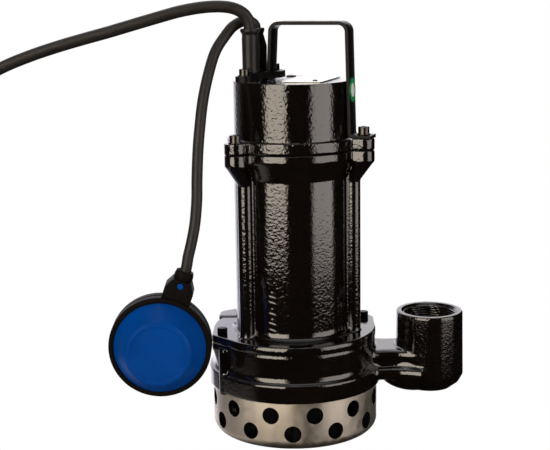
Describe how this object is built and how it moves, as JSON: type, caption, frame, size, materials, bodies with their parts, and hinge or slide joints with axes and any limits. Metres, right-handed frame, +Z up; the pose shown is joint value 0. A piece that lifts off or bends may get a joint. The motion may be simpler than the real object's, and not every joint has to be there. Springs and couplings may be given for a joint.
{
  "type": "submersible sump pump",
  "caption": "Cylindrical cast iron drainage pump on a perforated strainer, with a threaded side outlet, strip handle and tethered float switch.",
  "frame": {"origin": "on the pump's axis, at the underside of the strainer basket, where it stands on the floor", "axes": "+Z up along the motor's axis, +X towards the outlet, -Y towards the side that the float hangs on"},
  "size_m": [0.6029, 0.2141, 0.3829],
  "materials": {
    "black_paint": "gloss",
    "strainer_steel": "satin",
    "screw_steel": "dark zinc",
    "bright_steel": "machined",
    "plate_metal": "satin",
    "cast_iron": "rough",
    "laminations": "laminated",
    "copper": "enamelled wire",
    "cable_rubber": "matt",
    "gland_rubber": "satin",
    "float_blue": "semi-gloss",
    "float_black": "moulded",
    "ceramic": "smooth",
    "white_plastic": "moulded"
  },
  "bodies": {
    "pump_body": {"motor_cover": "black_paint", "stator_housing": "black_paint", "volute_casing": "black_paint", "handle": "black_paint", "cable_clamp_plate": "black_paint", "casing_screw_1": "black_paint", "casing_screw_2": "black_paint", "strainer_basket": "strainer_steel", "clamp_screw_front": "screw_steel", "clamp_screw_rear": "screw_steel", "cover_screw_1": "screw_steel", "cover_screw_2": "screw_steel", "cover_screw_3": "screw_steel", "oil_plug": "screw_steel", "name_plate": "plate_metal", "suction_plate": "cast_iron", "seal_plate": "cast_iron", "upper_bearing_bracket": "cast_iron", "stator_core": "laminations", "upper_winding": "copper", "lower_winding": "copper", "strainer_screw_1": "bright_steel", "strainer_screw_2": "bright_steel", "strainer_screw_3": "bright_steel", "strainer_spacer_1": "bright_steel", "strainer_spacer_2": "bright_steel", "strainer_spacer_3": "bright_steel", "upper_bearing_outer_ring": "bright_steel", "lower_bearing_outer_ring": "bright_steel", "plug_pin_1": "bright_steel", "plug_pin_2": "bright_steel", "power_cable": "cable_rubber", "power_cable_coil": "cable_rubber", "power_cable_tail": "cable_rubber", "float_cable": "cable_rubber", "power_cable_gland": "gland_rubber", "float_cable_gland": "gland_rubber", "cover_o_ring": "gland_rubber", "casing_o_ring": "gland_rubber", "lip_seal": "gland_rubber", "plug_body": "gland_rubber", "seal_seat": "ceramic", "terminal_block": "ceramic", "capacitor": "white_plastic"},
    "rotor": {"shaft": "bright_steel", "rotor_core": "laminations", "impeller": "cast_iron", "impeller_nut": "bright_steel", "upper_bearing_inner_ring": "bright_steel", "lower_bearing_inner_ring": "bright_steel", "seal_head": "bright_steel"},
    "float": {"float_front_shell": "float_blue", "float_rear_shell": "float_blue", "float_rim_seal": "float_black", "float_neck": "float_black", "float_collar": "float_black", "float_pin": "float_blue", "float_ball_channel": "white_plastic", "float_microswitch": "white_plastic"},
    "float_switch_ball": {"float_ball": "bright_steel"}
  },
  "joints": [
    {"name": "shaft_spin", "type": "hinge", "parent": "pump_body", "child": "rotor", "pos_m": [0, 0, 0.18], "axis": [0, 0, 1], "continuous": true},
    {"name": "float_swing", "type": "hinge", "parent": "pump_body", "child": "float", "pos_m": [-0.0931, -0.062, 0.1578], "axis": [0, 0.9997, 0.0262], "range_deg": [-3, 105], "stiffness_Nm_per_rad": 0.3, "springref_deg": 10.89},
    {"name": "float_ball_roll", "type": "slide", "parent": "float", "child": "float_switch_ball", "axis": [0.3355, -0.0247, 0.9417], "range_m": [0, 0.022]}
  ]
}
